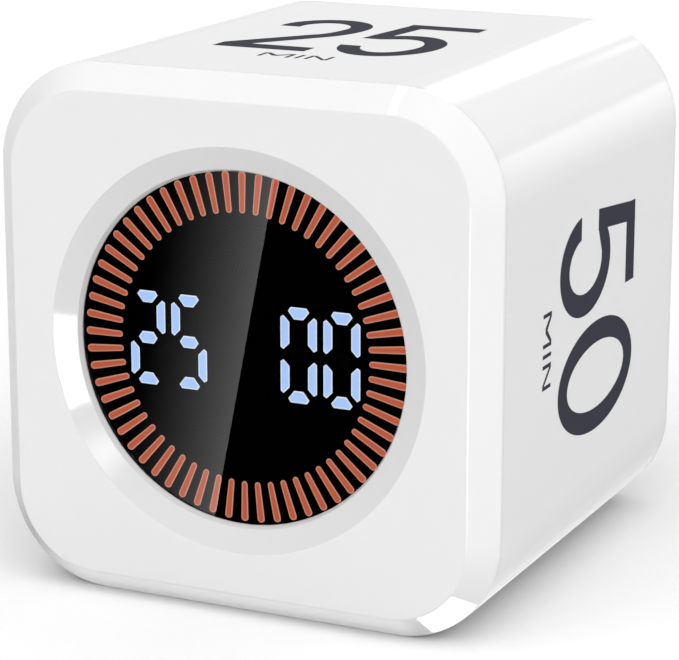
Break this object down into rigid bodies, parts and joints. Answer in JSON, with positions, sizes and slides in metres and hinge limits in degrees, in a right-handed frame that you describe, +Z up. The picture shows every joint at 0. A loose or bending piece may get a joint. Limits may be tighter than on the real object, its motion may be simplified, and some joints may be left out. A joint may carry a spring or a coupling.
{
  "type": "visual countdown timer",
  "caption": "White cube timer with a round smoked display: a ring of lit ticks around four digits, a number on each of its four sides, and push buttons, a slider and a charging socket behind.",
  "frame": {"origin": "centre of the underside, on the surface that the timer stands on", "axes": "+Z up with the number 25 on top, the display faces -Y, the controls face +Y, and +X is to the right as seen from the front"},
  "size_m": [0.06, 0.06, 0.06],
  "materials": {
    "white_shell": "polished injection-moulded ABS",
    "ink": "satin pad-printing ink",
    "smoked_acrylic": "polished smoked acrylic",
    "black_mask": "matt black polycarbonate",
    "tick_orange": "frosted guide, lit orange",
    "segment_blue": "frosted guide, lit pale blue",
    "segment_dark": "smoked guide, unlit",
    "milky_sheet": "matt diffuser sheet",
    "tape": "black adhesive tape",
    "circuit_board": "green solder mask",
    "led_package": "resin package",
    "chip_black": "matt moulded package",
    "connector_cream": "moulded nylon",
    "ribbon_white": "laminated film",
    "chassis_black": "textured ABS",
    "foil_silver": "laminated pouch foil",
    "foam_grey": "soft foam",
    "wire_red": "insulated wire",
    "screw_steel": "zinc-plated",
    "nickel_shell": "nickel-plated sheet",
    "button_grey": "satin moulded",
    "plunger_black": "moulded nylon",
    "copper_wire": "enamelled winding",
    "magnet_grey": "sintered",
    "rubber_black": "soft rubber",
    "tungsten": "sintered"
  },
  "bodies": {
    "housing": {"front_bezel": "white_shell", "body_sleeve": "white_shell", "rear_cover": "white_shell", "number_ink": "ink", "housing_screws": "screw_steel", "window_tape": "tape", "display_window": "smoked_acrylic", "light_mask": "black_mask", "tick_light_guides": "tick_orange", "digit_guides_lit": "segment_blue", "digit_guides_dark": "segment_dark", "diffuser_sheet": "milky_sheet", "display_board": "circuit_board", "tick_leds": "led_package", "digit_leds": "led_package", "display_driver_chips": "chip_black", "display_board_screws": "screw_steel", "ribbon_sockets": "connector_cream", "ribbon_cable": "ribbon_white", "inner_chassis": "chassis_black", "battery_cell": "foil_silver", "battery_foam": "foam_grey", "battery_leads": "wire_red", "battery_socket": "connector_cream", "main_board": "circuit_board", "main_board_screws": "screw_steel", "controller_chip": "chip_black", "tilt_sensor": "chip_black", "power_parts": "chip_black", "usb_c_shell": "nickel_shell", "usb_c_tongue": "plunger_black", "buzzer_case": "plunger_black", "buzzer_coil": "copper_wire", "buzzer_diaphragm": "nickel_shell", "buzzer_gasket": "foam_grey", "tact_switch_cases": "plunger_black", "slide_switch_case": "nickel_shell", "motor_case": "nickel_shell", "motor_holder": "rubber_black", "motor_magnet": "magnet_grey"},
    "minus_press_body": {"minus_button": "button_grey", "minus_plunger": "plunger_black"},
    "mode_press_body": {"mode_button": "button_grey", "mode_plunger": "plunger_black"},
    "plus_press_body": {"plus_button": "button_grey", "plus_plunger": "plunger_black"},
    "slider_body": {"slider_cap": "button_grey", "slide_knob": "plunger_black"},
    "motor_rotor": {"motor_shaft": "screw_steel", "motor_coil": "copper_wire", "eccentric_weight": "tungsten"}
  },
  "joints": [
    {"name": "minus_press", "type": "slide", "parent": "housing", "child": "minus_press_body", "axis": [0, -1, 0], "range_m": [0, 0.0005], "stiffness_N_per_m": 3000, "springref_m": -0.0001},
    {"name": "mode_press", "type": "slide", "parent": "housing", "child": "mode_press_body", "axis": [0, -1, 0], "range_m": [0, 0.0005], "stiffness_N_per_m": 3000, "springref_m": -0.0001},
    {"name": "plus_press", "type": "slide", "parent": "housing", "child": "plus_press_body", "axis": [0, -1, 0], "range_m": [0, 0.0005], "stiffness_N_per_m": 3000, "springref_m": -0.0001},
    {"name": "sound_slide", "type": "slide", "parent": "housing", "child": "slider_body", "axis": [1, 0, 0], "range_m": [-0.0015, 0.0015]},
    {"name": "vibration_spin", "type": "hinge", "parent": "housing", "child": "motor_rotor", "pos_m": [0.006, 0.0098, 0.05125], "axis": [1, 0, 0], "continuous": true}
  ]
}
